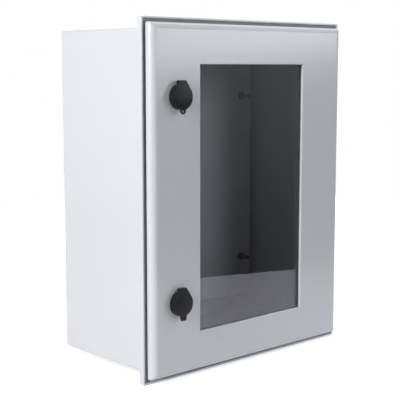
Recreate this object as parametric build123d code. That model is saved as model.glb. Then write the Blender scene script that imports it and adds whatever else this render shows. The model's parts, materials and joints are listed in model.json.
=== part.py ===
from build123d import *
import os

# Wall enclosure moulded in glass-fibre polyester, with a glazed door.
# Millimetres. X runs to the right seen from the front, Y to the back and Z up.
# The origin is the centre of the back face, which lies on the wall.
# "Forward" distances are measured from that back face towards the front.

# Body moulding
rim_width = 400.0
rim_height = 500.0
body_depth = 200.0
wall = 4.0
rim_overhang = 13.5
rim_depth = 8.0
flange_thickness = 3.5
lip_thickness = 3.0
rim_corner_radius = 3.0
channel_corner_radius = 1.0
body_corner_radius = 4.0
inner_corner_radius = 2.5
back_edge_radius = 2.5
inner_back_radius = 2.0
lip_edge_radius = 1.2

# Door moulding
door_gap = 4.0
door_stand = 12.0
door_panel_thickness = 3.5
door_skirt = 4.0
skirt_lift = 0.3
door_corner_radius = 3.0
door_inner_radius = 2.0
door_edge_radius = 9.0
door_stile = 87.5
door_rail = 56.0

# Door gasket and the rib that holds it
gasket_width = 8.0
gasket_thickness = 4.0
gasket_rib = 3.0
gasket_rib_height = 6.0

# Strip that lies in the rain channel behind the door's edge
strip_thickness = 1.8
strip_side_gap = 0.4
strip_hinge_gap = 1.0

# Window
window_edge_radius = 0.8
pane_overlap = 12.0
pane_thickness = 4.0
pane_corner_radius = 4.0
window_seal_thickness = 1.5
window_seal_width = 9.0
clip_from_end = 85.0
clip_from_side = 42.5
clip_length = 20.0
clip_width = 14.0
clip_thickness = 2.0
clip_corner_radius = 2.5
clip_bite = 6.0
clip_boss_radius = 5.0
clip_screw_radius = 2.0
clip_screw_length = 5.0
clip_screw_head_radius = 3.8
clip_screw_head_height = 2.4

# Hinges
hinge_from_end = 84.0
hinge_pin_radius = 1.5
hinge_eye_radius = 3.0
hinge_eye_length = 12.0
hinge_knuckle_length = 9.0
hinge_lead = 2.0
hinge_set_out = 0.7
hinge_base_width = 9.0
hinge_base_length = 58.0
hinge_base_thickness = 1.8
hinge_base_corner_radius = 2.0
hinge_screw_pitch = 46.0
hinge_screw_radius = 1.5
hinge_screw_head_radius = 2.8
hinge_nut_across = 5.5
hinge_nut_height = 2.4
hinge_screw_past_nut = 1.0

# Locks
lock_from_edge = 47.0
lock_from_top = 99.5
lock_from_bottom = 103.0
lock_base_radius = 17.25
lock_base_height = 8.0
lock_base_edge = 0.8
lock_seal_thickness = 0.8
lock_seal_radius = 16.0
lock_recess_radius = 14.0
lock_recess_floor = 2.5
lock_barrel_radius = 11.0
lock_barrel_flat = 10.0
lock_barrel_length = 16.0
lock_nut_across = 27.0
lock_nut_height = 5.0
core_radius = 7.5
core_collar_radius = 9.5
core_collar_height = 1.2
core_key_radius = 4.6
core_key_height = 2.8
core_square = 8.0
cam_thickness = 3.0
cam_width = 12.0
cam_reach = 24.0
cam_hub_radius = 8.0
cam_end_radius = 3.0
cam_screw_radius = 2.5
cam_screw_length = 8.0
cam_screw_head_radius = 5.0
cam_screw_head_height = 2.6

# Dust flaps of the locks
flap_radius = 17.0
flap_thickness = 3.6
flap_dome_radius = 120.0
flap_edge_radius = 0.6
flap_tab_half_width = 6.0
flap_tab_top = 22.3
flap_axis_height = 19.3
flap_axis_stand = 5.0
flap_knuckle_radius = 3.0
flap_cheek_half_width = 5.2
flap_pin_radius = 1.25
flap_pin_half_length = 4.4
flap_lug_half_width = 2.4
flap_ear_drop = 19.2
flap_ear_radius = 3.9
flap_ear_hole_radius = 1.9
flap_ear_thickness = 2.2
flap_ear_root_half_width = 6.4
flap_ear_tip_half_width = 4.0
flap_drip_radius = 13.0
flap_drip_width = 1.5
flap_drip_height = 1.5

# Keepers on the left wall
keeper_thickness = 2.0
keeper_height = 44.0
keeper_depth = 26.0
keeper_reach = 16.5
keeper_bend_radius = 2.5
keeper_boss_radius = 5.0
keeper_boss_height = 6.0
keeper_screw_pitch = 24.0
keeper_screw_back = 18.0
keeper_screw_radius = 2.0
keeper_screw_length = 5.0
keeper_screw_head_radius = 3.8
keeper_screw_head_height = 2.4

# Mounting plate and its studs
plate_side_margin = 9.5
plate_end_margin = 32.5
plate_thickness = 4.0
plate_stand = 26.0
plate_corner_radius = 4.0
plate_edge_radius = 0.6
stud_from_side = 23.0
stud_from_end = 64.0
stud_radius = 3.0
stud_embed = 16.0
stud_past_nut = 13.0
stud_boss_radius = 8.0
stud_washer_radius = 6.25
stud_washer_thickness = 1.6
stud_nut_across = 10.0
stud_nut_height = 5.0

# Wall fixings
fixing_from_side = 26.5
fixing_from_end = 20.0
fixing_insert_radius = 6.0
fixing_insert_length = 14.0
fixing_thread_radius = 3.4
fixing_boss_radius = 10.0
fixing_boss_floor = 4.0

# Clearances
running_clearance = 0.05
hole_clearance = 0.2
moving_clearance = 0.3
notch_clearance = 0.5

# Planes worked out from the sizes above, as forward distances
lip_front = body_depth
rim_back = lip_front - rim_depth
channel_floor = rim_back + flange_thickness
door_front = lip_front + door_stand
panel_back = door_front - door_panel_thickness
gasket_back = panel_back - gasket_thickness
tongue_front = gasket_back
skirt_back = lip_front + skirt_lift
strip_front = channel_floor + strip_thickness
pane_front = panel_back - window_seal_thickness
pane_back = pane_front - pane_thickness
clip_back = pane_back - clip_thickness
hinge_base_front = channel_floor + hinge_base_thickness
hinge_forward = lip_front + hinge_lead
plate_back = wall + plate_stand
plate_front = plate_back + plate_thickness
barrel_back = door_front - lock_barrel_length
cam_front = barrel_back - moving_clearance
cam_back = cam_front - cam_thickness
flap_back = door_front + lock_base_height + moving_clearance

# Widths and heights worked out from the sizes above
body_width = rim_width - 2 * rim_overhang
body_height = rim_height - 2 * rim_overhang
inner_width = body_width - 2 * wall
inner_height = body_height - 2 * wall
door_width = rim_width - 2 * (lip_thickness + door_gap)
door_height = rim_height - 2 * (lip_thickness + door_gap)
door_inner_width = door_width - 2 * door_skirt
door_inner_height = door_height - 2 * door_skirt
window_width = door_width - 2 * door_stile
window_height = door_height - 2 * door_rail
pane_width = window_width + 2 * pane_overlap
pane_height = window_height + 2 * pane_overlap
plate_width = inner_width - 2 * plate_side_margin
plate_height = inner_height - 2 * plate_end_margin
hinge_across = door_width / 2 + hinge_set_out
lock_across = lock_from_edge - door_width / 2

# Places of what comes in pairs and fours, seen from the front
hinge_heights = {
    "upper": door_height / 2 - hinge_from_end,
    "lower": hinge_from_end - door_height / 2,
}
lock_heights = {
    "upper": door_height / 2 - lock_from_top,
    "lower": lock_from_bottom - door_height / 2,
}
stud_places = GridLocations(
    plate_width - 2 * stud_from_side, plate_height - 2 * stud_from_end, 2, 2
)
fixing_places = GridLocations(
    body_width - 2 * fixing_from_side, body_height - 2 * fixing_from_end, 2, 2
)
clip_side_heights = (clip_from_end - window_height / 2, 0.0, window_height / 2 - clip_from_end)
clip_end_across = (clip_from_side - window_width / 2, window_width / 2 - clip_from_side)


def forward_plane(distance):
    """The upright plane at this distance in front of the back face."""
    return Plane.XZ.offset(distance)


def prism(outline, start, end):
    """An outline seen from the front, run forward from start to end."""
    return extrude(forward_plane(start) * outline, amount=end - start)


def block(across, forward, upright):
    """A box from its three (start, end) spans."""
    size = [span[1] - span[0] for span in (across, forward, upright)]
    middle = [(span[1] + span[0]) / 2 for span in (across, forward, upright)]
    return Pos(middle[0], -middle[1], middle[2]) * Box(*size)


def rod_across(radius, span, forward, height):
    """A round rod along X."""
    place = Pos((span[0] + span[1]) / 2, -forward, height)
    return place * Rot(0, 90, 0) * Cylinder(radius, span[1] - span[0])


def rod_upright(radius, span, across, forward):
    """A round rod along Z."""
    return Pos(across, -forward, (span[0] + span[1]) / 2) * Cylinder(radius, span[1] - span[0])


def at_each(places, outline):
    """The same outline at each place, as one sketch."""
    return Sketch() + [place * outline for place in places]


def hexagon(across_flats):
    return RegularPolygon(across_flats / 2, 6, major_radius=False)


def group(solids):
    return Compound(children=list(solids))


def clip_places():
    """Centre and turn of each clip: its long way lies across the pane's edge."""
    from_pane = clip_length / 2 - clip_bite
    side = pane_width / 2 + from_pane
    end = pane_height / 2 + from_pane
    places = []
    for height in clip_side_heights:
        places.append((side, height, 0))
        places.append((-side, height, 180))
    for across in clip_end_across:
        places.append((across, end, 90))
        places.append((across, -end, -90))
    return [Pos(across, height) * Rot(0, 0, turn) for across, height, turn in places]


# The clip's screw and boss stand this far outward from the clip's centre.
clip_screw_shift = clip_length / 2 - (clip_length - clip_bite) / 2


def make_tub():
    """The walls and back, which run forward to the edge that presses the gasket."""
    outside = prism(RectangleRounded(body_width, body_height, body_corner_radius), 0, tongue_front)
    outside = fillet(outside.faces().sort_by(Axis.Y)[-1].edges(), back_edge_radius)
    inside = prism(
        RectangleRounded(inner_width, inner_height, inner_corner_radius), wall, tongue_front
    )
    inside = fillet(inside.faces().sort_by(Axis.Y)[-1].edges(), inner_back_radius)
    return outside, inside


def make_rim():
    """The outward flange with its forward lip, which leave a rain channel round the door."""
    flange = prism(RectangleRounded(rim_width, rim_height, rim_corner_radius), rim_back, lip_front)
    channel = prism(
        RectangleRounded(
            rim_width - 2 * lip_thickness,
            rim_height - 2 * lip_thickness,
            channel_corner_radius,
        ),
        channel_floor,
        lip_front,
    )
    rim = flange - channel
    return fillet(rim.faces().sort_by(Axis.Y)[0].edges(), lip_edge_radius)


def keeper_boss_places(height):
    forward = barrel_back - keeper_screw_back
    return [(forward, height + side * keeper_screw_pitch / 2) for side in (-1, 1)]


def make_enclosure_body():
    outside, inside = make_tub()
    body = make_rim() + outside - inside

    boss_top = fixing_insert_length + fixing_boss_floor
    body += prism(at_each(fixing_places, Circle(fixing_boss_radius)), wall / 2, boss_top)
    body -= prism(at_each(fixing_places, Circle(fixing_insert_radius)), 0, fixing_insert_length)

    body += prism(at_each(stud_places, Circle(stud_boss_radius)), wall / 2, plate_back)
    stud_holes = at_each(stud_places, Circle(stud_radius + running_clearance))
    body -= prism(stud_holes, plate_back - stud_embed, plate_back)

    wall_face = -inner_width / 2
    boss_face = wall_face + keeper_boss_height
    for height in lock_heights.values():
        for forward, screw_height in keeper_boss_places(height):
            body += rod_across(
                keeper_boss_radius, (wall_face - wall / 2, boss_face), forward, screw_height
            )
            body -= rod_across(
                keeper_screw_radius + running_clearance,
                (boss_face - keeper_screw_length, boss_face),
                forward,
                screw_height,
            )

    for place in hinge_screw_places():
        body -= prism(place * Circle(hinge_screw_radius + hole_clearance), rim_back, channel_floor)
    return body


def make_fixing_inserts():
    ring = Circle(fixing_insert_radius) - Circle(fixing_thread_radius)
    return group(
        prism(place * ring, 0, fixing_insert_length) for place in fixing_places.locations
    )


def make_rim_strip():
    """A rubber strip on the floor of the rain channel, left out at the hinges."""
    outside = lip_thickness + strip_side_gap
    inside = rim_overhang - strip_side_gap
    ring = Rectangle(rim_width - 2 * outside, rim_height - 2 * outside)
    ring -= Rectangle(rim_width - 2 * inside, rim_height - 2 * inside)
    for height in hinge_heights.values():
        ring -= Pos(hinge_across, height) * Rectangle(
            2 * rim_overhang, hinge_base_length + 2 * strip_hinge_gap
        )
    return group(prism(ring, channel_floor, strip_front).solids())


def make_mounting_plate():
    outline = RectangleRounded(plate_width, plate_height, plate_corner_radius)
    plate = prism(outline, plate_back, plate_front)
    plate = fillet(plate.faces().sort_by(Axis.Y)[0].edges(), plate_edge_radius)
    holes = at_each(stud_places, Circle(stud_radius + hole_clearance))
    return plate - prism(holes, plate_back, plate_front)


def make_plate_fixings():
    """Studs set in the bosses, with a washer and a nut in front of the plate."""
    washer_front = plate_front + stud_washer_thickness
    nut_front = washer_front + stud_nut_height
    bore = Circle(stud_radius + running_clearance)
    places = stud_places.locations
    studs = [
        prism(place * Circle(stud_radius), plate_back - stud_embed, nut_front + stud_past_nut)
        for place in places
    ]
    washers = [
        prism(place * (Circle(stud_washer_radius) - bore), plate_front, washer_front) for place in places
    ]
    nuts = [
        prism(place * (hexagon(stud_nut_across) - bore), washer_front, nut_front) for place in places
    ]
    return group(studs), group(washers), group(nuts)


def lock_barrel_outline(clearance):
    """A round barrel with two flats that keep the lock from turning in the door."""
    flats = Rectangle(2 * (lock_barrel_flat + clearance), 4 * lock_barrel_radius)
    return Circle(lock_barrel_radius + clearance) & flats


def hinge_eye_span(height):
    return (height - hinge_eye_length / 2, height + hinge_eye_length / 2)


def hinge_knuckle_spans(height):
    near = hinge_eye_length / 2 + moving_clearance
    far = near + hinge_knuckle_length
    return [(height - far, height - near), (height + near, height + far)]


def make_hinge_notch(height):
    """Room in the door's skirt for the fixed knuckles, over the door's whole swing."""
    half = hinge_eye_length / 2 + hinge_knuckle_length + moving_clearance + notch_clearance
    span = (height - half, height + half)
    return rod_upright(hinge_eye_radius + notch_clearance, span, hinge_across, hinge_forward)


def make_hinge_eye(height):
    """The eye moulded on the skirt, which turns on the hinge pin."""
    span = hinge_eye_span(height)
    eye = rod_upright(hinge_eye_radius, span, hinge_across, hinge_forward)
    eye += block(
        (door_inner_width / 2, hinge_across),
        (hinge_forward - hinge_eye_radius, hinge_forward + hinge_eye_radius),
        span,
    )
    return eye


def make_door_outside():
    """A block with broadly rounded front edges that meet in tight corners."""
    outside = prism(Rectangle(door_width, door_height), skirt_back, door_front)
    outside = fillet(outside.faces().sort_by(Axis.Y)[0].edges(), door_edge_radius)
    corners = [
        edge
        for edge in outside.edges()
        if abs(edge.center().X) > door_width / 2 - door_edge_radius
        and abs(edge.center().Z) > door_height / 2 - door_edge_radius
    ]
    return fillet(corners, door_corner_radius)


def make_door():
    door = make_door_outside()
    hollow = RectangleRounded(door_inner_width, door_inner_height, door_inner_radius)
    door -= prism(hollow, skirt_back, panel_back)
    door -= prism(Rectangle(window_width, window_height), panel_back, door_front)
    face = door.faces().sort_by(Axis.Y)[0]
    door = fillet(face.inner_wires()[0].edges(), window_edge_radius)

    rib_width = door_inner_width - 2 * gasket_width
    rib_height = door_inner_height - 2 * gasket_width
    rib = RectangleRounded(rib_width, rib_height, door_inner_radius)
    rib -= RectangleRounded(
        rib_width - 2 * gasket_rib, rib_height - 2 * gasket_rib, door_inner_radius
    )
    door += prism(rib, panel_back - gasket_rib_height, panel_back)

    for place in clip_places():
        screw_place = place * Pos(clip_screw_shift, 0)
        door += prism(screw_place * Circle(clip_boss_radius), pane_back, panel_back)
        door -= prism(
            screw_place * Circle(clip_screw_radius + running_clearance),
            pane_back,
            pane_back + clip_screw_length,
        )

    for height in lock_heights.values():
        hole = Pos(lock_across, height) * lock_barrel_outline(hole_clearance)
        door -= prism(hole, panel_back, door_front)
    for height in hinge_heights.values():
        door -= make_hinge_notch(height)
        door += make_hinge_eye(height)
        door -= rod_upright(
            hinge_pin_radius + running_clearance, hinge_eye_span(height), hinge_across, hinge_forward
        )
    return door


def make_door_gasket():
    ring = RectangleRounded(door_inner_width, door_inner_height, door_inner_radius)
    ring -= RectangleRounded(
        door_inner_width - 2 * gasket_width, door_inner_height - 2 * gasket_width, door_inner_radius
    )
    return prism(ring, gasket_back, panel_back)


def make_window_seal():
    ring = Rectangle(window_width + 2 * window_seal_width, window_height + 2 * window_seal_width)
    ring -= Rectangle(window_width, window_height)
    return prism(ring, pane_front, panel_back)


def make_window_pane():
    return prism(RectangleRounded(pane_width, pane_height, pane_corner_radius), pane_back, pane_front)


def make_pane_clips():
    """Flat clips that reach from a boss on the door over the edge of the pane."""
    outline = RectangleRounded(clip_length, clip_width, clip_corner_radius)
    outline -= Pos(clip_screw_shift, 0) * Circle(clip_screw_radius + hole_clearance)
    clips = [prism(place * outline, clip_back, pane_back) for place in clip_places()]
    screws = []
    for place in clip_places():
        screw_place = place * Pos(clip_screw_shift, 0)
        screw = prism(screw_place * Circle(clip_screw_radius), clip_back, pane_back + clip_screw_length)
        head_back = clip_back - clip_screw_head_height
        screw += prism(screw_place * Circle(clip_screw_head_radius), head_back, clip_back)
        screws.append(screw)
    return group(clips), group(screws)


def hinge_screw_places():
    places = []
    for height in hinge_heights.values():
        for side in (-1, 1):
            places.append(Pos(hinge_across, height + side * hinge_screw_pitch / 2))
    return places


def hinge_screw_cone(place, clearance):
    """The countersunk head, flush with the front of the hinge base."""
    head = hinge_screw_head_radius + clearance
    shank = hinge_screw_radius + clearance
    depth = head - shank
    outlines = [
        forward_plane(hinge_base_front - depth) * (place * Circle(shank)),
        forward_plane(hinge_base_front) * (place * Circle(head)),
    ]
    return loft(outlines)


def make_hinge_base(height):
    """A plate on the channel floor with two knuckles that hold the pin."""
    outline = RectangleRounded(hinge_base_width, hinge_base_length, hinge_base_corner_radius)
    lip_face = rim_width / 2 - lip_thickness
    centre = lip_face - moving_clearance - hinge_base_width / 2
    base = prism(Pos(centre, height) * outline, channel_floor, hinge_base_front)
    across = (hinge_across - hinge_eye_radius, hinge_across + hinge_eye_radius)
    for span in hinge_knuckle_spans(height):
        base += rod_upright(hinge_eye_radius, span, hinge_across, hinge_forward)
        base += block(across, (channel_floor, hinge_forward), span)
        base -= rod_upright(hinge_pin_radius + running_clearance, span, hinge_across, hinge_forward)
    for side in (-1, 1):
        place = Pos(hinge_across, height + side * hinge_screw_pitch / 2)
        base -= prism(
            place * Circle(hinge_screw_radius + hole_clearance), channel_floor, hinge_base_front
        )
        base -= hinge_screw_cone(place, hole_clearance)
    return base


def make_hinge_pin(height):
    spans = hinge_knuckle_spans(height)
    return rod_upright(hinge_pin_radius, (spans[0][0], spans[1][1]), hinge_across, hinge_forward)


def make_hinge_screws():
    nut_back = rim_back - hinge_nut_height
    screws = []
    nuts = []
    for place in hinge_screw_places():
        shank = prism(
            place * Circle(hinge_screw_radius), nut_back - hinge_screw_past_nut, hinge_base_front
        )
        screws.append(shank + hinge_screw_cone(place, 0.0))
        outline = hexagon(hinge_nut_across) - Circle(hinge_screw_radius + running_clearance)
        nuts.append(prism(place * outline, nut_back, rim_back))
    return group(screws), group(nuts)


def make_lock_housing(height):
    """The round base with a recess for the key, a threaded barrel and a lug for the flap."""
    place = Pos(lock_across, height)
    base_back = door_front + lock_seal_thickness
    base_front = door_front + lock_base_height
    housing = prism(place * Circle(lock_base_radius), base_back, base_front)
    housing = fillet(housing.faces().sort_by(Axis.Y)[0].edges(), lock_base_edge)
    axis_height = height + flap_axis_height
    axis_forward = door_front + flap_axis_stand
    lug_span = (lock_across - flap_lug_half_width, lock_across + flap_lug_half_width)
    cheek_room = (
        axis_height - flap_knuckle_radius - moving_clearance,
        axis_height + flap_knuckle_radius,
    )
    across = (lock_across - flap_tab_half_width, lock_across + flap_tab_half_width)
    housing -= block(across, (base_back, base_front), cheek_room)
    housing += rod_across(flap_knuckle_radius, lug_span, axis_forward, axis_height)
    housing += block(lug_span, (base_back, base_front - moving_clearance), (height, axis_height))
    housing -= prism(place * Circle(lock_recess_radius), door_front + lock_recess_floor, base_front)
    housing += prism(place * lock_barrel_outline(0.0), barrel_back, base_back)
    housing -= prism(
        place * Circle(core_radius + running_clearance), barrel_back, door_front + lock_recess_floor
    )
    housing -= rod_across(flap_pin_radius + running_clearance, lug_span, axis_forward, axis_height)
    return housing


def make_lock_seal(height):
    ring = Circle(lock_seal_radius) - Circle(lock_barrel_radius + hole_clearance)
    return prism(Pos(lock_across, height) * ring, door_front, door_front + lock_seal_thickness)


def make_lock_nut(height):
    ring = hexagon(lock_nut_across) - Circle(lock_barrel_radius + running_clearance)
    return prism(Pos(lock_across, height) * ring, panel_back - lock_nut_height, panel_back)


def make_lock_core(height):
    """The turning part: key post, collar, round shaft and a square for the cam."""
    place = Pos(lock_across, height)
    floor = door_front + lock_recess_floor
    collar_front = floor + core_collar_height
    core = prism(place * Circle(core_collar_radius), floor, collar_front)
    key_post = place * RegularPolygon(core_key_radius, 3, rotation=90)
    core += prism(key_post, collar_front, collar_front + core_key_height)
    core += prism(place * Circle(core_radius), cam_front, floor)
    core += prism(place * Rectangle(core_square, core_square), cam_back, cam_front)
    screw_hole = place * Circle(cam_screw_radius + running_clearance)
    core -= prism(screw_hole, cam_back, cam_back + cam_screw_length)
    return core


def make_lock_cam(height):
    """The blade hangs down while the lock is open and turns to the left to lock."""
    blade = Pos(0, -cam_reach / 2) * RectangleRounded(cam_width, cam_reach, cam_end_radius)
    side = core_square + 2 * running_clearance
    outline = Circle(cam_hub_radius) + blade - Rectangle(side, side)
    return prism(Pos(lock_across, height) * outline, cam_back, cam_front)


def make_cam_screw(height):
    place = Pos(lock_across, height)
    screw = prism(place * Circle(cam_screw_radius), cam_back, cam_back + cam_screw_length)
    screw += prism(place * Circle(cam_screw_head_radius), cam_back - cam_screw_head_height, cam_back)
    return screw


def flap_ear(end):
    """The ear under the flap: on the upper one an eye for a seal wire, on the lower one a blunt tip."""
    root = -flap_drip_radius
    half = flap_ear_root_half_width
    if end == "upper":
        centre = Pos(0, -flap_ear_drop)
        edges = (centre * Circle(flap_ear_radius)).edges() + [Line((-half, root), (half, root))]
        return make_hull(edges) - centre * Circle(flap_ear_hole_radius)
    tip = -flap_ear_drop - flap_ear_radius
    return Polygon(
        (-flap_ear_tip_half_width, tip),
        (flap_ear_tip_half_width, tip),
        (half, root),
        (-half, root),
        align=None,
    )


def flap_pin_span():
    """The pin ends inside the cheeks."""
    return (lock_across - flap_pin_half_length, lock_across + flap_pin_half_length)


def make_dust_flap(end, height):
    """A domed cover on two cheeks that turn on the flap pin."""
    place = Pos(lock_across, height)
    top = Line((-flap_tab_half_width, flap_tab_top), (flap_tab_half_width, flap_tab_top))
    outline = make_hull(Circle(flap_radius).edges() + [top])
    flap_front = flap_back + flap_thickness
    flap = prism(place * outline, flap_back, flap_front)
    dome = Pos(lock_across, flap_dome_radius - flap_front, height) * Sphere(flap_dome_radius)
    flap = flap & dome
    flap = fillet(flap.faces().sort_by(Axis.Y)[0].edges(), flap_edge_radius)
    flap += prism(place * flap_ear(end), flap_back, flap_back + flap_ear_thickness)
    drip = Circle(flap_drip_radius) - Circle(flap_drip_radius - flap_drip_width)
    flap += prism(place * drip, flap_back - flap_drip_height, flap_back)

    axis_height = height + flap_axis_height
    axis_forward = door_front + flap_axis_stand
    near = flap_lug_half_width + moving_clearance
    for side in (-1, 1):
        ends = sorted((lock_across + side * near, lock_across + side * flap_cheek_half_width))
        flap += rod_across(flap_knuckle_radius, ends, axis_forward, axis_height)
        upright = (axis_height - flap_knuckle_radius, axis_height + flap_knuckle_radius)
        flap += block(ends, (axis_forward, flap_back), upright)
    flap -= rod_across(flap_pin_radius + running_clearance, flap_pin_span(), axis_forward, axis_height)
    return flap


def make_flap_pin(height):
    axis_forward = door_front + flap_axis_stand
    return rod_across(flap_pin_radius, flap_pin_span(), axis_forward, height + flap_axis_height)


def make_keeper(height):
    """A bent strip: one leg on the wall bosses, one leg that the cam closes behind."""
    wall_leg = keeper_boss_height - inner_width / 2
    front = barrel_back + keeper_thickness
    upright = (height - keeper_height / 2, height + keeper_height / 2)
    keeper = block((wall_leg, wall_leg + keeper_thickness), (front - keeper_depth, front), upright)
    keeper += block((wall_leg, wall_leg + keeper_reach), (barrel_back, front), upright)
    corner = keeper.edges().filter_by(Axis.Z).sort_by(lambda edge: edge.center().X + edge.center().Y)[0]
    keeper = fillet(corner, keeper_bend_radius)
    for forward, screw_height in keeper_boss_places(height):
        keeper -= rod_across(
            keeper_screw_radius + hole_clearance,
            (wall_leg, wall_leg + keeper_thickness),
            forward,
            screw_height,
        )
    return keeper


def make_keeper_screws():
    boss_face = keeper_boss_height - inner_width / 2
    leg_face = boss_face + keeper_thickness
    screws = []
    for height in lock_heights.values():
        for forward, screw_height in keeper_boss_places(height):
            shank = (boss_face - keeper_screw_length, leg_face)
            head = (leg_face, leg_face + keeper_screw_head_height)
            screw = rod_across(keeper_screw_radius, shank, forward, screw_height)
            screw += rod_across(keeper_screw_head_radius, head, forward, screw_height)
            screws.append(screw)
    return group(screws)


def make_nodes():
    nodes = {
        "enclosure_body": make_enclosure_body(),
        "fixing_inserts": make_fixing_inserts(),
        "rim_strip": make_rim_strip(),
        "mounting_plate": make_mounting_plate(),
        "keeper_screws": make_keeper_screws(),
        "door_panel": make_door(),
        "door_gasket": make_door_gasket(),
        "window_seal": make_window_seal(),
        "window_pane": make_window_pane(),
    }
    nodes["plate_studs"], nodes["plate_washers"], nodes["plate_nuts"] = make_plate_fixings()
    nodes["pane_clips"], nodes["pane_clip_screws"] = make_pane_clips()
    nodes["hinge_screws"], nodes["hinge_nuts"] = make_hinge_screws()
    for end, height in hinge_heights.items():
        nodes["hinge_base_" + end] = make_hinge_base(height)
        nodes["hinge_pin_" + end] = make_hinge_pin(height)
    for end, height in lock_heights.items():
        nodes["lock_housing_" + end] = make_lock_housing(height)
        nodes["lock_seal_" + end] = make_lock_seal(height)
        nodes["lock_nut_" + end] = make_lock_nut(height)
        nodes["lock_core_" + end] = make_lock_core(height)
        nodes["lock_cam_" + end] = make_lock_cam(height)
        nodes["cam_screw_" + end] = make_cam_screw(height)
        nodes["dust_flap_" + end] = make_dust_flap(end, height)
        nodes["flap_pin_" + end] = make_flap_pin(height)
        nodes["keeper_" + end] = make_keeper(height)
    return nodes


os.makedirs("parts", exist_ok=True)
for name, shape in make_nodes().items():
    export_step(shape, "parts/" + name + ".step")
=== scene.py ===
"""Looks of a wall enclosure moulded in polyester, with a glazed door and quarter-turn locks."""

import json
import math
from collections import namedtuple

import bmesh
import bpy
from mathutils import Matrix, Vector


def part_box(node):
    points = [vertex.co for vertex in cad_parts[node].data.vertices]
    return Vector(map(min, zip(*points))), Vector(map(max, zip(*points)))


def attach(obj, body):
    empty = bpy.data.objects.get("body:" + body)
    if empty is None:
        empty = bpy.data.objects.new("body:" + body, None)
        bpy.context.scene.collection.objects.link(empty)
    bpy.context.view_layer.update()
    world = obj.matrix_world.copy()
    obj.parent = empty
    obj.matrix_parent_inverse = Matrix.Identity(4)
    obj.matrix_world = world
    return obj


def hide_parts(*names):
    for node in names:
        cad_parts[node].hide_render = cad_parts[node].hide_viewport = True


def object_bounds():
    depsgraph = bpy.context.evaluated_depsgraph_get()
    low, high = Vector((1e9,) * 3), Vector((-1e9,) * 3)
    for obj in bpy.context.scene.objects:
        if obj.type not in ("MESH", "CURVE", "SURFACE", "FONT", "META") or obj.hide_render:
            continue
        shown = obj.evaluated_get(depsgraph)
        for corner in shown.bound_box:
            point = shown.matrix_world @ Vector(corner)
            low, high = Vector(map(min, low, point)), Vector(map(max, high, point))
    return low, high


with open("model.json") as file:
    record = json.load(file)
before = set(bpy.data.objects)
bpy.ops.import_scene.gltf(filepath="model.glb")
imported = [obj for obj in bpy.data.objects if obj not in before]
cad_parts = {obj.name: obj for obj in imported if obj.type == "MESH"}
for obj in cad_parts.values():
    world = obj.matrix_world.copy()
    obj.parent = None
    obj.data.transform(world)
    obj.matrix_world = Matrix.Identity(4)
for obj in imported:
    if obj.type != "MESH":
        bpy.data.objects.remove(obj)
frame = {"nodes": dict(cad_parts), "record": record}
cad_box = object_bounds()
nodes = frame["nodes"]

# Lengths are in metres and angles in degrees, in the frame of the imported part.
MM = 0.001
FORWARD = (0, -1, 0)
BACKWARD = (0, 1, 0)
TO_THE_RIGHT = (1, 0, 0)
ENDS = ("upper", "lower")
BLACK = (0.0, 0.0, 0.0)
WHITE = (1.0, 1.0, 1.0)
COOL = (0.935, 0.953, 1.0)

# Camera, in front of the part on its left and a little above its middle, with its lens in millimetres
CAMERA_PLACE = Vector((-1.0526, -1.2330, 0.1845))
CAMERA_TURN = 42.825
CAMERA_DOWN = 7.545
CAMERA_SENSOR = 36.0
CAMERA_LENS = 90.93

# Floor: a pale table whose front edge runs past the camera on a slant
FLOOR_EDGE_POINT = Vector((0.338, -0.686))
FLOOR_EDGE_SLOPE = 0.355
FLOOR_HALF_WIDTH = 1.6
FLOOR_BACK = 1.4
FLOOR_COLOUR = (0.67, 0.67, 0.67)
FLOOR_ROUGHNESS = 0.9

# The floor's glow, as the camera sees it and as gloss shows it, between a near and a far distance
FLOOR_GLOW_FROM = 0.35
FLOOR_GLOW_TO = 1.0
FLOOR_GLOW_NEAR = 0.63
FLOOR_GLOW_FAR = 1.0
FLOOR_GLOSS_NEAR = 0.90
FLOOR_GLOSS_FAR = 0.45
FLOOR_GLOSS_COLOUR = (0.86, 0.86, 1.0)

# Lamps: place, aim, size across and upright, watts, colour, degrees of roll about the aim
LAMPS = {
    "left_softbox": ((-2.1, -0.45, 0.80), (-0.19, -0.15, 0.0), (0.4, 1.4), 47.5, WHITE, 0.0),
    "right_softbox": ((1.52, -1.78, 0.40), (0.0, -0.212, 0.12), (0.95, 0.38), 8.8, COOL, 6.0),
    "front_softbox": ((0.15, -2.3, 0.55), (0.0, -0.2, 0.0), (0.8, 0.8), 5.4, COOL, 0.0),
    "upper_right_softbox": ((1.5, -1.3, 1.35), (0.0, -0.2, 0.1), (0.9, 0.9), 8.0, COOL, 0.0),
    "top_softbox": ((1.4, 0.0, 1.9), (0.0, -0.2, 0.2), (1.2, 1.2), 10.0, WHITE, 0.0),
    "rear_softbox": ((1.3, 2.4, 0.9), (0.0, 0.0, 0.0), (1.2, 1.2), 24.0, WHITE, 0.0),
}

# Room: its faint light on the part, how bright gloss shows its front below and above,
# and the upward share of a direction over which the one goes over into the other
ROOM_LIGHT = 0.04
ROOM_BELOW = 0.09
ROOM_ABOVE = 0.42
ROOM_RISE = (-0.15, 0.01)

# Backdrop: its strength, and the backward share of a direction over which gloss comes to show it
BACKDROP = 1.0
BACKDROP_SHARE = (-0.1, 0.2)

# Polyesters: darker colour, lighter colour, roughness
POLYESTERS = {
    "polyester": ((0.657, 0.667, 0.699), (0.663, 0.673, 0.705), 0.20),
    "plate_polyester": ((0.70, 0.706, 0.73), (0.73, 0.736, 0.76), 0.45),
}
POLYESTER_IOR = 1.5
FLOW_SIZE = 90 * MM
FLOW_RANGE = (0.2, 0.8)
PEEL_SIZE = 2.2 * MM
PEEL_ROUGHNESS = 0.02
FIBRE_SIZE = 3.0 * MM
FIBRE_SCALE = (1.0, 1.0, 0.12)
FIBRE_DISTORTION = 1.5

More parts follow.
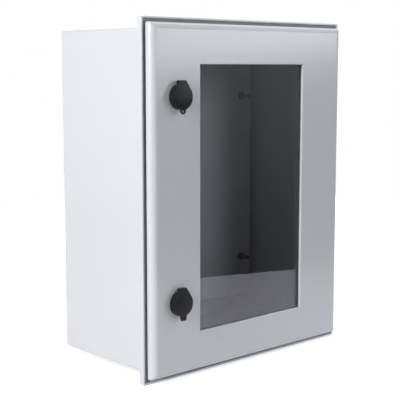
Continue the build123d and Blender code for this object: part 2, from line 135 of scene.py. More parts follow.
# Rubbers and foam: darker colour, lighter colour, size and depth of the grain
RUBBERS = {
    "dark_rubber": ((0.17, 0.17, 0.175), (0.21, 0.21, 0.215), 0.6 * MM, 0.03 * MM),
    # painted shade: the strip in the rain channel stands in for the shade in the gap round the door,
    # its grey set to that gap's brightness
    "painted_shade_rubber": ((0.38, 0.38, 0.39), (0.46, 0.46, 0.47), 0.6 * MM, 0.03 * MM),
    "seal_foam": ((0.045, 0.045, 0.048), (0.075, 0.075, 0.08), 0.9 * MM, 0.12 * MM),
}
RUBBER_ROUGHNESS = (0.75, 0.9)
RUBBER_RELIEF = 0.4

# Metals: darker colour, lighter colour, roughness, scale of the drawing marks along X, Y and Z
METALS = {
    "zinc_steel": ((0.50, 0.51, 0.53), (0.62, 0.63, 0.64), 0.34, (1.0, 1.0, 0.2)),
    "black_steel": ((0.006, 0.006, 0.007), (0.014, 0.014, 0.016), 0.46, (1.0, 0.2, 1.0)),
    "stainless_steel": ((0.56, 0.56, 0.57), (0.64, 0.64, 0.65), 0.28, (1.0, 1.0, 0.1)),
    "lock_metal": ((0.52, 0.52, 0.54), (0.62, 0.62, 0.64), 0.30, (1.0, 1.0, 1.0)),
    "hinge_metal": ((0.58, 0.58, 0.60), (0.66, 0.66, 0.67), 0.36, (1.0, 1.0, 0.05)),
    "brass": ((0.62, 0.42, 0.16), (0.72, 0.52, 0.22), 0.30, (1.0, 0.1, 1.0)),
}
METAL_PATCH_SIZE = 5 * MM
METAL_MARK_SIZE = 0.8 * MM
METAL_SMOOTHER = 0.06
METAL_ROUGHER = 0.08

# Black plastic of the locks
PLASTIC_COLOURS = ((0.0065, 0.0068, 0.008), (0.0105, 0.011, 0.0125))
PLASTIC_ROUGHNESS = (0.36, 0.46)
PLASTIC_SPECULAR = 0.2
PLASTIC_PATCH_SIZE = 9 * MM
PLASTIC_GRAIN_SIZE = 0.45 * MM

# Relief of a surface: strength of its bump, height of its marks
FIBRE_RELIEF = (0.08, 0.05 * MM)
PEEL_RELIEF = (0.10, 0.04 * MM)
METAL_RELIEF = (0.15, 0.02 * MM)
PLASTIC_RELIEF = (0.25, 0.03 * MM)

# Window pane: its own colour, and how much it lets through of the light on what is behind it
PANE_COLOUR = (0.955, 0.963, 0.987)
PANE_FILTER = (0.97, 0.977, 0.987)
PANE_IOR = 1.5

# Screws with a cross recess: radius and height of the head, height of its edge, radius of the shank
Screw = namedtuple("Screw", "head height edge shank")
PAN_SCREW = Screw(3.8 * MM, 2.4 * MM, 0.9 * MM, 2.0 * MM)
CAM_SCREW = Screw(5.0 * MM, 2.6 * MM, 1.0 * MM, 2.5 * MM)
HINGE_SCREW = Screw(2.8 * MM, 1.3 * MM, 0.0, 1.5 * MM)
HINGE_SCREW_PITCH = 46 * MM
KEEPER_SCREW_PITCH = 24 * MM
CLIP_FROM_END = 85 * MM
CLIP_FROM_SIDE = 42.5 * MM

# Cross recess and the rings round it, as shares of the head's radius
RECESS_SLOT = 0.13
RECESS_WALL = 0.02
RECESS_REACH = 0.56
HEAD_RINGS = (0.8, 0.93, 1.0)

# The recess's first ring as a share of its slot, and its depth as a share of the head's height
RECESS_FIRST_RING = 1.5
PAN_RECESS_DEPTH = 0.62
SUNK_RECESS_DEPTH = 0.5

# Hexagon nuts: width across flats and radius of the bore
HexNut = namedtuple("HexNut", "across bore")
STUD_NUT = HexNut(10 * MM, 3.05 * MM)
HINGE_NUT = HexNut(5.5 * MM, 1.55 * MM)
RING_NUT = HexNut(27 * MM, 11.05 * MM)

# Chamfers of a nut: its round face as a share of half the width, the bore's mouth as shares of it all
NUT_FACE = 0.95
NUT_CHAMFER = 30
NUT_MOUTH_WIDER = 0.06
NUT_MOUTH_DEPTH = 0.05

# Studs, washers and wall inserts, and their threads
EDGE_BREAK = 0.25 * MM
STUD_RADIUS = 3.0 * MM
STUD_THREAD_LENGTH = 24 * MM
STUD_PITCH = 1.0 * MM
STUD_THREAD_DEPTH = 0.55 * MM
WASHER_BORE = 3.2 * MM
WASHER_RADIUS = 6.25 * MM
INSERT_RADIUS = 6.0 * MM
INSERT_CORE = 3.4 * MM
INSERT_PITCH = 1.25 * MM
INSERT_THREAD_DEPTH = 0.60 * MM
THREAD_CREST = 0.15
THREAD_FLANK = 0.7

# Foam seal of the door; its back is a row of (share of the way in, share of the swelling forward)
FOAM_WIDTH = 8 * MM
FOAM_CORNER = 2 * MM
FOAM_SWELLING = 0.6 * MM
FOAM_BACK = [(0.0, 1.0), (0.05, -0.3), (0.15, -1.0), (0.26, -0.6), (0.31, 0.0)]
FOAM_BACK += [(0.82, 0.0), (0.87, -0.5), (0.94, -0.4), (1.0, 1.0)]

# Lip seal of the pane, with shares of the way in where the lip starts and where its tip is
PANE_SEAL_WIDTH = 9 * MM
LIP_START = 0.97
LIP_TIP = 1.01

# Strip in the rain channel; its front is a row of (share of the way in, share of the groove's depth)
STRIP_WIDTH = 9.7 * MM
STRIP_GROOVE = 0.5 * MM
STRIP_HINGE_GAP = 1 * MM
STRIP_FRONT = [(0.0, 1.0), (0.05, 0.0), (0.25, 0.0), (0.3, 1.0), (0.4, 1.0), (0.45, 0.0)]
STRIP_FRONT += [(0.65, 0.0), (0.7, 1.0), (0.8, 1.0), (0.85, 0.0), (0.95, 0.0), (1.0, 1.0)]

# Other seals, and the least angle of an edge that stays sharp
LOCK_SEAL_BORE = 11.2 * MM
SQUARE_CORNER = 0.2 * MM
SHARP_EDGE = 35


def new_material(name):
    """A material of nodes, with its main shader."""
    material = bpy.data.materials.new(name)
    material.use_nodes = True
    return material, material.node_tree, material.node_tree.nodes["Principled BSDF"]


def object_coords(tree, scale):
    """Coordinates that move with the piece, in metres times the scale."""
    coords = tree.nodes.new("ShaderNodeTexCoord")
    mapping = tree.nodes.new("ShaderNodeMapping")
    mapping.inputs["Scale"].default_value = scale
    tree.links.new(coords.outputs["Object"], mapping.inputs["Vector"])
    return mapping.outputs["Vector"]


def noise(tree, size, detail=3.0, scale=(1.0, 1.0, 1.0), distortion=0.0):
    """Soft noise with features of this size, drawn out along an axis where its scale is low."""
    texture = tree.nodes.new("ShaderNodeTexNoise")
    texture.inputs["Scale"].default_value = 1.0 / size
    texture.inputs["Detail"].default_value = detail
    texture.inputs["Distortion"].default_value = distortion
    tree.links.new(object_coords(tree, scale), texture.inputs["Vector"])
    return texture.outputs["Fac"]


def spread(tree, value, low, high, start=0.3, end=0.7):
    """Runs from low to high as the value goes from start to end."""
    node = tree.nodes.new("ShaderNodeMapRange")
    node.inputs["From Min"].default_value = start
    node.inputs["From Max"].default_value = end
    node.inputs["To Min"].default_value = low
    node.inputs["To Max"].default_value = high
    tree.links.new(value, node.inputs["Value"])
    return node.outputs["Result"]


def tint(tree, value, dark, light, start=0.3, end=0.7):
    """Runs from one colour to another as the value goes from start to end."""
    ramp = tree.nodes.new("ShaderNodeValToRGB")
    ramp.color_ramp.elements[0].position = start
    ramp.color_ramp.elements[0].color = (*dark, 1.0)
    ramp.color_ramp.elements[1].position = end
    ramp.color_ramp.elements[1].color = (*light, 1.0)
    tree.links.new(value, ramp.inputs["Fac"])
    return ramp.outputs["Color"]


def calculate(tree, operation, *values):
    """The result of a calculation on these sockets."""
    node = tree.nodes.new("ShaderNodeMath")
    node.operation = operation
    for socket, value in zip(node.inputs, values):
        tree.links.new(value, socket)
    return node.outputs["Value"]


def mixed(tree, factor, first, second):
    """A value between two others, each of them a socket or a number."""
    node = tree.nodes.new("ShaderNodeMix")
    tree.links.new(factor, node.inputs["Factor"])
    for name, value in (("A", first), ("B", second)):
        if isinstance(value, float):
            node.inputs[name].default_value = value
        else:
            tree.links.new(value, node.inputs[name])
    return node.outputs["Result"]


def relief(tree, shader, layers):
    """Bump layers, each (height socket, strength, height of the marks)."""
    normal = None
    for height, strength, distance in layers:
        bump = tree.nodes.new("ShaderNodeBump")
        bump.inputs["Strength"].default_value = strength
        bump.inputs["Distance"].default_value = distance
        tree.links.new(height, bump.inputs["Height"])
        if normal is not None:
            tree.links.new(normal, bump.inputs["Normal"])
        normal = bump.outputs["Normal"]
    tree.links.new(normal, shader.inputs["Normal"])


def polyester(name, dark, light, roughness):
    """Press-moulded polyester: faint flow marks, fibre print and a fine orange peel."""
    material, tree, shader = new_material(name)
    flow = noise(tree, FLOW_SIZE, detail=2.0)
    tree.links.new(tint(tree, flow, dark, light, *FLOW_RANGE), shader.inputs["Base Color"])
    peel = noise(tree, PEEL_SIZE, detail=2.0)
    gloss = spread(tree, peel, roughness - PEEL_ROUGHNESS, roughness + PEEL_ROUGHNESS)
    tree.links.new(gloss, shader.inputs["Roughness"])
    fibres = noise(tree, FIBRE_SIZE, detail=1.0, scale=FIBRE_SCALE, distortion=FIBRE_DISTORTION)
    relief(tree, shader, [(fibres, *FIBRE_RELIEF), (peel, *PEEL_RELIEF)])
    shader.inputs["IOR"].default_value = POLYESTER_IOR
    return material


def black_plastic():
    """Glass-filled polyamide, dull, with a fine spark-eroded grain."""
    material, tree, shader = new_material("black_plastic")
    patch = noise(tree, PLASTIC_PATCH_SIZE)
    tree.links.new(tint(tree, patch, *PLASTIC_COLOURS), shader.inputs["Base Color"])
    tree.links.new(spread(tree, patch, *PLASTIC_ROUGHNESS), shader.inputs["Roughness"])
    shader.inputs["Specular IOR Level"].default_value = PLASTIC_SPECULAR
    grain = noise(tree, PLASTIC_GRAIN_SIZE, detail=2.0)
    relief(tree, shader, [(grain, *PLASTIC_RELIEF)])
    return material


def rubber(name, dark, light, grain_size, depth):
    """Dull rubber or foam with a fine grain."""
    material, tree, shader = new_material(name)
    grain = noise(tree, grain_size)
    tree.links.new(tint(tree, grain, dark, light), shader.inputs["Base Color"])
    tree.links.new(spread(tree, grain, *RUBBER_ROUGHNESS), shader.inputs["Roughness"])
    relief(tree, shader, [(grain, RUBBER_RELIEF, depth)])
    return material


def metal(name, dark, light, roughness, mark_scale):
    """Plated or bare metal with faint drawing marks."""
    material, tree, shader = new_material(name)
    patch = noise(tree, METAL_PATCH_SIZE)
    tree.links.new(tint(tree, patch, dark, light), shader.inputs["Base Color"])
    shader.inputs["Metallic"].default_value = 1.0
    marks = noise(tree, METAL_MARK_SIZE, scale=mark_scale)
    gloss = spread(tree, marks, roughness - METAL_SMOOTHER, roughness + METAL_ROUGHER)
    tree.links.new(gloss, shader.inputs["Roughness"])
    relief(tree, shader, [(marks, *METAL_RELIEF)])
    return material


def clear_pane():
    """A clear glossy sheet that lets light reach what is behind it, less of it at a slant."""
    material, tree, shader = new_material("window_pane")
    shader.inputs["Base Color"].default_value = (*PANE_COLOUR, 1.0)
    shader.inputs["Transmission Weight"].default_value = 1.0
    shader.inputs["Roughness"].default_value = 0.0
    shader.inputs["IOR"].default_value = PANE_IOR
    path = tree.nodes.new("ShaderNodeLightPath").outputs
    lighting = calculate(tree, "MAXIMUM", path["Is Shadow Ray"], path["Is Diffuse Ray"])
    slant = tree.nodes.new("ShaderNodeFresnel")
    slant.inputs["IOR"].default_value = PANE_IOR
    through = tree.nodes.new("ShaderNodeBsdfTransparent")
    through_colour = tint(tree, slant.outputs["Fac"], PANE_FILTER, BLACK, 0.0, 1.0)
    tree.links.new(through_colour, through.inputs["Color"])
    mix = tree.nodes.new("ShaderNodeMixShader")
    tree.links.new(lighting, mix.inputs["Fac"])
    tree.links.new(shader.outputs["BSDF"], mix.inputs[1])
    tree.links.new(through.outputs["BSDF"], mix.inputs[2])
    tree.links.new(mix.outputs["Shader"], tree.nodes["Material Output"].inputs["Surface"])
    return material


def make_materials():
    """All finishes, by the record's slot, and a grey rubber of painted shade for the strip in the rain
    channel.
    """
    made = {name: polyester(name, *values) for name, values in POLYESTERS.items()}
    made["black_plastic"] = black_plastic()
    made.update({name: rubber(name, *values) for name, values in RUBBERS.items()})
    made.update({name: metal(name, *values) for name, values in METALS.items()})
    made["pane"] = clear_pane()
    return made


def dress_nodes(materials):
    """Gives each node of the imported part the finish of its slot."""
    for part in frame["record"]["subparts"]:
        for slot in nodes[part["node"]].material_slots:
            slot.material = materials[part["material_slot"]]


def facing(centre, direction):
    """Axes whose Z runs along the direction, from this centre."""
    turn = Vector(direction).to_track_quat("Z", "Y").to_matrix().to_4x4()
    return Matrix.Translation(centre) @ turn


def add_rings(mesh, axes, rings, closed=False):
    """Rings of (x, y, z) points joined by faces; a ring of one point is a pole."""
    made = [[mesh.verts.new(axes @ Vector(point)) for point in ring] for ring in rings]
    pairs = list(zip(made, made[1:]))
    if closed:
        pairs.append((made[-1], made[0]))
    for low, high in pairs:
        count = max(len(low), len(high))
        for i in range(count):
            j = (i + 1) % count
            corners = [low[i % len(low)], low[j % len(low)], high[j % len(high)], high[i % len(high)]]
            mesh.faces.new(list(dict.fromkeys(corners)))


def circle(radius, height, steps):
    """A ring of points at this height, or the one point in its middle."""
    if radius == 0.0:
        return [(0.0, 0.0, height)]
    turn = 2 * math.pi / steps
    return [(radius * math.cos(i * turn), radius * math.sin(i * turn), height) for i in range(steps)]


def lathe(mesh, axes, profile, steps=40, closed=False):
    """A turned shape from its (radius, height) profile."""
    add_rings(mesh, axes, [circle(radius, height, steps) for radius, height in profile], closed)


def hex_nut(mesh, axes, nut, height, steps=60):
    """A hexagon nut with both faces chamfered and the bore's mouths countersunk."""
    inner = nut.across / 2
    face = NUT_FACE * inner
    mouth = nut.bore + NUT_MOUTH_WIDER * nut.across
    mouth_depth = NUT_MOUTH_DEPTH * nut.across
    slope = math.tan(math.radians(NUT_CHAMFER))
    side = math.pi / 3
    half_side = math.pi / 6
    upper = []
    lower = []
    for i in range(steps):
        angle = 2 * math.pi * i / steps
        reach = inner / math.cos((angle + half_side) % side - half_side)
        drop = (reach - face) * slope
        upper.append((reach * math.cos(angle), reach * math.sin(angle), height - drop))
        lower.append((reach * math.cos(angle), reach * math.sin(angle), drop))
    rings = [
        circle(nut.bore, height - mouth_depth, steps),
        circle(mouth, height, steps),
        circle(face, height, steps),
        upper,
        lower,
        circle(face, 0.0, steps),
        circle(mouth, 0.0, steps),
        circle(nut.bore, mouth_depth, steps),
    ]
    add_rings(mesh, axes, rings, closed=True)


def thread_ring(radius, depth, pitch, height, steps, limit):
    """One ring of a screw thread: depth is taken off inward, or added outward where it is negative."""
    ring = []
    for i in range(steps):
        angle = 2 * math.pi * i / steps
        wave = abs(2 * ((height / pitch - i / steps) % 1.0) - 1)
        cut = depth * min(1.0, max(0.0, (wave - THREAD_CREST) / THREAD_FLANK))
        reach = min(radius - cut, limit)
        ring.append((reach * math.cos(angle), reach * math.sin(angle), height))
    return ring


def threaded_stud(mesh, axes, radius, length, threaded, steps=28, rows=8):
    """A stud: a plain shank at its foot, then the thread, with a chamfered end."""
    start = length - threaded
    rings = [circle(0.0, 0.0, steps), circle(radius, 0.0, steps), circle(radius, start, steps)]
    count = round(threaded / STUD_PITCH * rows)
    for row in range(1, count + 1):
        height = start + threaded * row / count
        limit = radius - STUD_THREAD_DEPTH + (length - height)
        rings.append(thread_ring(radius, STUD_THREAD_DEPTH, STUD_PITCH, height, steps, limit))
    rings.append(circle(0.0, length, steps))
    add_rings(mesh, axes, rings)


def threaded_insert(mesh, axes, outside, core, length, steps=36, rows=6):
    """An insert: its open end flush at height zero, with the thread inside."""
    mouth = core + INSERT_THREAD_DEPTH + EDGE_BREAK
    top = -INSERT_THREAD_DEPTH - EDGE_BREAK
    rings = [
        circle(outside, -length, steps),
        circle(outside, -2 * EDGE_BREAK, steps),
        circle(outside - EDGE_BREAK, 0.0, steps),
        circle(mouth, 0.0, steps),
        circle(core, top, steps),
    ]
    count = round((length + top) / INSERT_PITCH * rows)
    for row in range(1, count):
        height = top - (length + top) * row / count
        rings.append(thread_ring(core, -INSERT_THREAD_DEPTH, INSERT_PITCH, height, steps, mouth))
    rings.append(circle(core, -length, steps))
    add_rings(mesh, axes, rings, closed=True)


def cross_ring(radius, slot, wall, between=3):
    """Angles round a head, drawn close at the walls of a cross recess: (angle, in the recess)."""
    inside = math.asin(min(1.0, slot / radius))
    outside = math.asin(min(1.0, (slot + wall) / radius))
    span = math.pi / 2 - 2 * outside
    angles = []
    for arm in range(4):
        middle = arm * math.pi / 2
        angles += [(middle - outside, False), (middle - inside, True), (middle, True)]
        angles += [(middle + inside, True), (middle + outside, False)]
        angles += [(middle + outside + span * (i + 1) / (between + 1), False) for i in range(between)]
    return angles


def cross_screw(mesh, axes, screw, length, sunk=False):
    """A screw with a cross recess: pan head above height zero, or a countersunk one below it."""
    head, height, edge, shank = screw
    slot = RECESS_SLOT * head
    wall = RECESS_WALL * head
    reach = RECESS_REACH * head
    depth = (SUNK_RECESS_DEPTH if sunk else PAN_RECESS_DEPTH) * height
    top = 0.0 if sunk else height
    fall = 0.0 if sunk else (height - edge) / head**2
    floor = top - depth
    first = RECESS_FIRST_RING * slot
    radii = [first, (first + reach) / 2, reach, reach + wall]
    radii += [share * head for share in HEAD_RINGS]
    rings = [[(0.0, 0.0, floor)]]
    for radius in radii:
        surface = top - fall * radius**2
        ring = []
        for angle, in_recess in cross_ring(radius, slot, wall):
            z = floor if in_recess and radius <= reach else surface
            ring.append((radius * math.cos(angle), radius * math.sin(angle), z))
        rings.append(ring)
    below = [(shank, -height)] if sunk else [(head, 0.0), (shank, 0.0)]
    below.append((shank, -length))
    angles = [angle for angle, in_recess in cross_ring(head, slot, wall)]
    for radius, z in below:
        rings.append([(radius * math.cos(angle), radius * math.sin(angle), z) for angle in angles])
    rings.append([(0.0, 0.0, -length)])
    add_rings(mesh, axes, rings)


def rounded_path(half_width, half_height, radius, steps):
    """Points (across, up) round a rectangle with rounded corners, from its right side upward."""
    points = []
    for quarter, (side, end) in enumerate(((1, 1), (-1, 1), (-1, -1), (1, -1))):
        for i in range(steps + 1):
            angle = (quarter + i / steps) * math.pi / 2
            across = side * (half_width - radius) + radius * math.cos(angle)
            up = end * (half_height - radius) + radius * math.sin(angle)
            points.append((across, up))
    return points


def seal_paths(corner, width, radius, steps):
    """Outer and inner path of a seal of this width, which reaches out to the corner of its box."""
    outer = rounded_path(corner.x, corner.z, radius, steps)
    inner = rounded_path(corner.x - width, corner.z - width, radius, steps)
    return outer, inner


def add_seal(mesh, outer, inner, profile, closed=True):
    """A strip between two paths, from its profile of (share of the way in, forward distance)."""
    rows = []
    for far, near in zip(outer, inner):
        row = []
        for share, forward in profile:
            across = far[0] + (near[0] - far[0]) * share
            up = far[1] + (near[1] - far[1]) * share
            row.append(mesh.verts.new((across, -forward, up)))
        rows.append(row)
    pairs = list(zip(rows, rows[1:]))
    if closed:
        pairs.append((rows[-1], rows[0]))
    else:
        mesh.faces.new(rows[0])
        mesh.faces.new(rows[-1][::-1])
    count = len(profile)
    for here, there in pairs:
        for i in range(count):
            j = (i + 1) % count
            mesh.faces.new((here[i], there[i], there[j], here[j]))


def finish_piece(name, mesh, material, node):
    """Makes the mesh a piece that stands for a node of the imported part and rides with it."""
    bmesh.ops.recalc_face_normals(mesh, faces=mesh.faces)
    for face in mesh.faces:
        face.smooth = True
    for edge in mesh.edges:
        if len(edge.link_faces) == 2 and edge.calc_face_angle() > math.radians(SHARP_EDGE):
            edge.smooth = False
    data = bpy.data.meshes.new(name)
    mesh.to_mesh(data)
    mesh.free()
    piece = bpy.data.objects.new(name, data)
    bpy.context.scene.collection.objects.link(piece)
    data.materials.append(material)
    bodies = frame["record"]["behaviour"]["bodies"]
    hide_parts(node)
    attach(piece, next(body for body, members in bodies.items() if node in members))


def corner_places(node, radius):
    """Centres (x, z) of four equal round things that reach to the corners of the node's box."""
    low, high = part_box(node)
    sides = (low.x + radius, high.x - radius)
    ends = (low.z + radius, high.z - radius)
    return [(x, z) for x in sides for z in ends]


def make_plate_fixings(materials):
    """The studs of the mounting plate, each with a washer and a nut."""
    steel = materials["black_steel"]
    places = corner_places("plate_studs", STUD_RADIUS)
    low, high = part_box("plate_studs")
    studs = bmesh.new()
    for x, z in places:
        axes = facing((x, high.y, z), FORWARD)
        threaded_stud(studs, axes, STUD_RADIUS, high.y - low.y, STUD_THREAD_LENGTH)
    finish_piece("threaded_studs", studs, steel, "plate_studs")

    low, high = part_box("plate_washers")
    thick = high.y - low.y
    edge = WASHER_RADIUS
    profile = [(WASHER_BORE, 0.0), (edge - EDGE_BREAK, 0.0), (edge, EDGE_BREAK)]
    profile += [(edge, thick - EDGE_BREAK), (edge - EDGE_BREAK, thick), (WASHER_BORE, thick)]
    washers = bmesh.new()
    for x, z in places:
        lathe(washers, facing((x, high.y, z), FORWARD), profile, closed=True)
    finish_piece("stud_washers", washers, steel, "plate_washers")

    low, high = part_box("plate_nuts")
    nuts = bmesh.new()
    for x, z in places:
        hex_nut(nuts, facing((x, high.y, z), FORWARD), STUD_NUT, high.y - low.y)
    finish_piece("stud_nuts", nuts, steel, "plate_nuts")


def make_wall_inserts(materials):
    """Brass inserts in the back for the wall fixings."""
    low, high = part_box("fixing_inserts")
    inserts = bmesh.new()
    for x, z in corner_places("fixing_inserts", INSERT_RADIUS):
        axes = facing((x, high.y, z), BACKWARD)
        threaded_insert(inserts, axes, INSERT_RADIUS, INSERT_CORE, high.y - low.y)
    finish_piece("threaded_inserts", inserts, materials["brass"], "fixing_inserts")


def pair_heights(node, pitch):
    """Heights of two things that stand this far apart about the middle of the node's box."""
    low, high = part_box(node)
    middle = (low.z + high.z) / 2
    return [middle - pitch / 2, middle + pitch / 2]


def make_hinge_fixings(materials):
    """Countersunk screws in the hinge bases, with their nuts behind the rim."""
    steel = materials["stainless_steel"]
    low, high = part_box("hinge_screws")
    x = (low.x + high.x) / 2
    heights = [z for end in ENDS for z in pair_heights("hinge_base_" + end, HINGE_SCREW_PITCH)]
    screws = bmesh.new()
    for z in heights:
        cross_screw(screws, facing((x, low.y, z), FORWARD), HINGE_SCREW, high.y - low.y, sunk=True)
    finish_piece("hinge_screws_cross", screws, steel, "hinge_screws")

    low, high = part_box("hinge_nuts")
    nuts = bmesh.new()
    for z in heights:
        hex_nut(nuts, facing((x, high.y, z), FORWARD), HINGE_NUT, high.y - low.y)
    finish_piece("hinge_nuts_hex", nuts, steel, "hinge_nuts")


def make_clip_screws(materials):
    """Pan-head screws in the pane clips: three on each side, two at the top and two at the bottom."""
    low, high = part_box("pane_clip_screws")
    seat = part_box("pane_clips")[1].y
    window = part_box("window_seal")[1]
    side = high.x - PAN_SCREW.head
    end = high.z - PAN_SCREW.head
    reach = window.z - PANE_SEAL_WIDTH - CLIP_FROM_END
    across = window.x - PANE_SEAL_WIDTH - CLIP_FROM_SIDE
    places = [(x, z) for x in (-side, side) for z in (-reach, 0.0, reach)]
    places += [(x, z) for x in (-across, across) for z in (-end, end)]
    screws = bmesh.new()
    for x, z in places:
        cross_screw(screws, facing((x, seat, z), BACKWARD), PAN_SCREW, seat - low.y)
    finish_piece("clip_screws_cross", screws, materials["zinc_steel"], "pane_clip_screws")


def make_keeper_screws(materials):
    """Pan-head screws that hold the keepers to the left wall."""
    low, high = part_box("keeper_screws")
    y = (low.y + high.y) / 2
    seat = high.x - PAN_SCREW.height
    screws = bmesh.new()
    for end in ENDS:
        for z in pair_heights("keeper_" + end, KEEPER_SCREW_PITCH):
            cross_screw(screws, facing((seat, y, z), TO_THE_RIGHT), PAN_SCREW, seat - low.x)
    finish_piece("keeper_screws_cross", screws, materials["zinc_steel"], "keeper_screws")


def make_lock_details(materials):
    """Ring nut, cam screw and flat seal of each lock."""
    for end in ENDS:
        low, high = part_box("lock_nut_" + end)
        centre = (low + high) / 2
        nut = bmesh.new()
        axes = facing((centre.x, low.y, centre.z), BACKWARD)
        hex_nut(nut, axes, RING_NUT, high.y - low.y, steps=96)
        finish_piece("ring_nut_" + end, nut, materials["black_plastic"], "lock_nut_" + end)

        low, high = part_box("cam_screw_" + end)
        seat = high.y - CAM_SCREW.height
        screw = bmesh.new()
        axes = facing((centre.x, seat, centre.z), BACKWARD)
        cross_screw(screw, axes, CAM_SCREW, seat - low.y)
        finish_piece("cam_screw_cross_" + end, screw, materials["zinc_steel"], "cam_screw_" + end)

        low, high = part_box("lock_seal_" + end)
        thick = high.y - low.y
        edge = high.x - centre.x
        profile = [(LOCK_SEAL_BORE, 0.0), (edge - EDGE_BREAK, 0.0), (edge, thick / 2)]
        profile += [(edge - EDGE_BREAK, thick), (LOCK_SEAL_BORE, thick)]
        seal = bmesh.new()
        axes = facing((centre.x, high.y, centre.z), FORWARD)
        lathe(seal, axes, profile, steps=64, closed=True)
        finish_piece("flat_seal_" + end, seal, materials["dark_rubber"], "lock_seal_" + end)


def make_door_seal(materials):
    """The foam seal of the door, swollen on both sides of the line that the body's edge presses."""
    low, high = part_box("door_gasket")
    front = -low.y
    back = -high.y
    profile = [(0.0, front)]
    profile += [(share, back + part * FOAM_SWELLING) for share, part in FOAM_BACK]
    profile.append((1.0, front))
    foam = bmesh.new()
    add_seal(foam, *seal_paths(high, FOAM_WIDTH, FOAM_CORNER, steps=6), profile)
    finish_piece("foam_seal", foam, materials["seal_foam"], "door_gasket")


def make_pane_seal(materials):
    """The seal between door and pane, with a small round lip along the window."""
    low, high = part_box("window_seal")
    front = -low.y
    back = -high.y
    lip = (front - back) / 4
    profile = [(0.0, back), (0.0, front), (LIP_START, front), (1.0, front - lip)]
    profile += [(LIP_TIP, (front + back) / 2), (1.0, back + lip), (LIP_START, back)]
    seal = bmesh.new()
    add_seal(seal, *seal_paths(high, PANE_SEAL_WIDTH, SQUARE_CORNER, steps=2), profile)
    finish_piece("pane_lip_seal", seal, materials["dark_rubber"], "window_seal")


def make_channel_strip(materials):
    """The grooved strip in the rain channel, left out at the hinges; it is painted shade, a grey sheet
    that stands in for the shade in the gap round the door.
    """
    low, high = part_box("rim_strip")
    front = -low.y
    back = -high.y
    profile = [(0.0, back)]
    profile += [(share, front - part * STRIP_GROOVE) for share, part in STRIP_FRONT]
    profile.append((1.0, back))
    hinge_low, hinge_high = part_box("hinge_base_upper")
    near_end = hinge_low.z - STRIP_HINGE_GAP
    far_end = hinge_high.z + STRIP_HINGE_GAP
    outside = high.x
    inside = high.x - STRIP_WIDTH
    outer, inner = seal_paths(high, STRIP_WIDTH, SQUARE_CORNER, steps=2)
    between_hinges = [[(across, -near_end), (across, near_end)] for across in (outside, inside)]
    round_the_rest = [
        [(across, far_end)] + path + [(across, -far_end)]
        for across, path in ((outside, outer), (inside, inner))
    ]
    strip = bmesh.new()
    for far, near in (between_hinges, round_the_rest):
        add_seal(strip, far, near, profile, closed=False)
    finish_piece("channel_strip", strip, materials["painted_shade_rubber"], "rim_strip")


def floor_material():
    """Pale grey that keeps the part's shadow, with a glow that turns it white further off."""
    material, tree, shader = new_material("floor")
    shader.inputs["Base Color"].default_value = (*FLOOR_COLOUR, 1.0)
    shader.inputs["Roughness"].default_value = FLOOR_ROUGHNESS
    coords = tree.nodes.new("ShaderNodeTexCoord")
    distance = tree.nodes.new("ShaderNodeVectorMath")
    distance.operation = "LENGTH"
    tree.links.new(coords.outputs["Object"], distance.inputs[0])
    away = distance.outputs["Value"]
    reach = (FLOOR_GLOW_FROM, FLOOR_GLOW_TO)
    glow = spread(tree, away, FLOOR_GLOW_NEAR, FLOOR_GLOW_FAR, *reach)
    gloss_glow = spread(tree, away, FLOOR_GLOSS_NEAR, FLOOR_GLOSS_FAR, *reach)
    path = tree.nodes.new("ShaderNodeLightPath").outputs
    colour = tint(tree, path["Is Glossy Ray"], WHITE, FLOOR_GLOSS_COLOUR, 0.0, 1.0)
    tree.links.new(colour, shader.inputs["Emission Color"])
    in_gloss = calculate(tree, "MULTIPLY", path["Is Glossy Ray"], gloss_glow)
    strength = calculate(tree, "MULTIPLY_ADD", path["Is Camera Ray"], glow, in_gloss)
    tree.links.new(strength, shader.inputs["Emission Strength"])
    return material


def make_floor():
    """The floor under the part, cut off at its slanted front edge."""
    corners = []
    for across in (-FLOOR_HALF_WIDTH, FLOOR_HALF_WIDTH):
        edge = FLOOR_EDGE_POINT.y + (across - FLOOR_EDGE_POINT.x) * FLOOR_EDGE_SLOPE
        corners.append((across, edge, 0.0))
    corners += [(FLOOR_HALF_WIDTH, FLOOR_BACK, 0.0), (-FLOOR_HALF_WIDTH, FLOOR_BACK, 0.0)]
    mesh = bpy.data.meshes.new("floor")
    mesh.from_pydata(corners, [], [(0, 1, 2, 3)])
    floor = bpy.data.objects.new("floor", mesh)
    floor.location.z = cad_box[0].z
    floor.data.materials.append(floor_material())
    bpy.context.scene.collection.objects.link(floor)


def make_lamp(name, place, aim, size, watts, colour, roll):
    """A flat rectangular lamp, turned to its aim and rolled about it."""
    lamp = bpy.data.lights.new(name, "AREA")
    lamp.shape = "RECTANGLE"
    lamp.size = size[0]
    lamp.size_y = size[1]
    lamp.energy = watts
    lamp.color = colour
    holder = bpy.data.objects.new(name, lamp)
    holder.location = place
    aimed = (Vector(aim) - Vector(place)).to_track_quat("-Z", "Y").to_matrix()
    holder.rotation_euler = (aimed @ Matrix.Rotation(math.radians(roll), 3, "Z")).to_euler()
    bpy.context.scene.collection.objects.link(holder)


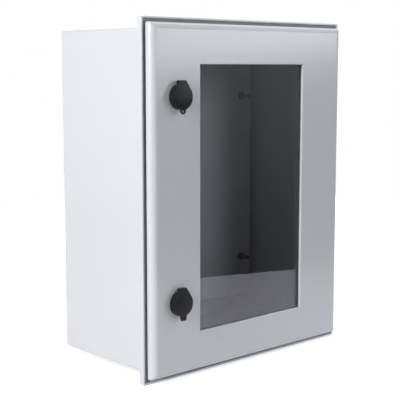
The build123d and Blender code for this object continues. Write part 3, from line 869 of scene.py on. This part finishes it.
def make_world():
    """Faint light all round, a white backdrop in plain sight and through the pane, a room in gloss."""
    world = bpy.data.worlds.new("studio")
    world.use_nodes = True
    tree = world.node_tree
    background = tree.nodes["Background"]
    coords = tree.nodes.new("ShaderNodeTexCoord")
    direction = tree.nodes.new("ShaderNodeSeparateXYZ")
    tree.links.new(coords.outputs["Generated"], direction.inputs["Vector"])
    room = spread(tree, direction.outputs["Z"], ROOM_BELOW, ROOM_ABOVE, *ROOM_RISE)
    behind = spread(tree, direction.outputs["Y"], 0.0, 1.0, *BACKDROP_SHARE)
    reflected = mixed(tree, behind, room, BACKDROP)
    path = tree.nodes.new("ShaderNodeLightPath").outputs
    straight_through = calculate(tree, "SUBTRACT", path["Is Transmission Ray"], path["Glossy Depth"])
    plain_sight = calculate(tree, "MAXIMUM", path["Is Camera Ray"], straight_through)
    light = mixed(tree, path["Is Glossy Ray"], ROOM_LIGHT, reflected)
    tree.links.new(mixed(tree, plain_sight, light, BACKDROP), background.inputs["Strength"])
    tree.links.new(tint(tree, plain_sight, COOL, WHITE, 0.0, 1.0), background.inputs["Color"])
    bpy.context.scene.world = world


def make_camera():
    """The camera, level from side to side and tipped down a little."""
    camera = bpy.data.cameras.new("camera")
    camera.sensor_width = CAMERA_SENSOR
    camera.lens = CAMERA_LENS
    holder = bpy.data.objects.new("camera", camera)
    holder.location = CAMERA_PLACE
    holder.rotation_euler = (math.radians(90 - CAMERA_DOWN), 0.0, math.radians(-CAMERA_TURN))
    bpy.context.scene.collection.objects.link(holder)
    bpy.context.scene.camera = holder


make_camera()
finishes = make_materials()
dress_nodes(finishes)
make_plate_fixings(finishes)
make_wall_inserts(finishes)
make_hinge_fixings(finishes)
make_clip_screws(finishes)
make_keeper_screws(finishes)
make_lock_details(finishes)
make_door_seal(finishes)
make_pane_seal(finishes)
make_channel_strip(finishes)
make_floor()
for lamp_name, lamp_values in LAMPS.items():
    make_lamp(lamp_name, *lamp_values)
make_world()
bpy.context.scene.view_settings.view_transform = "Standard"
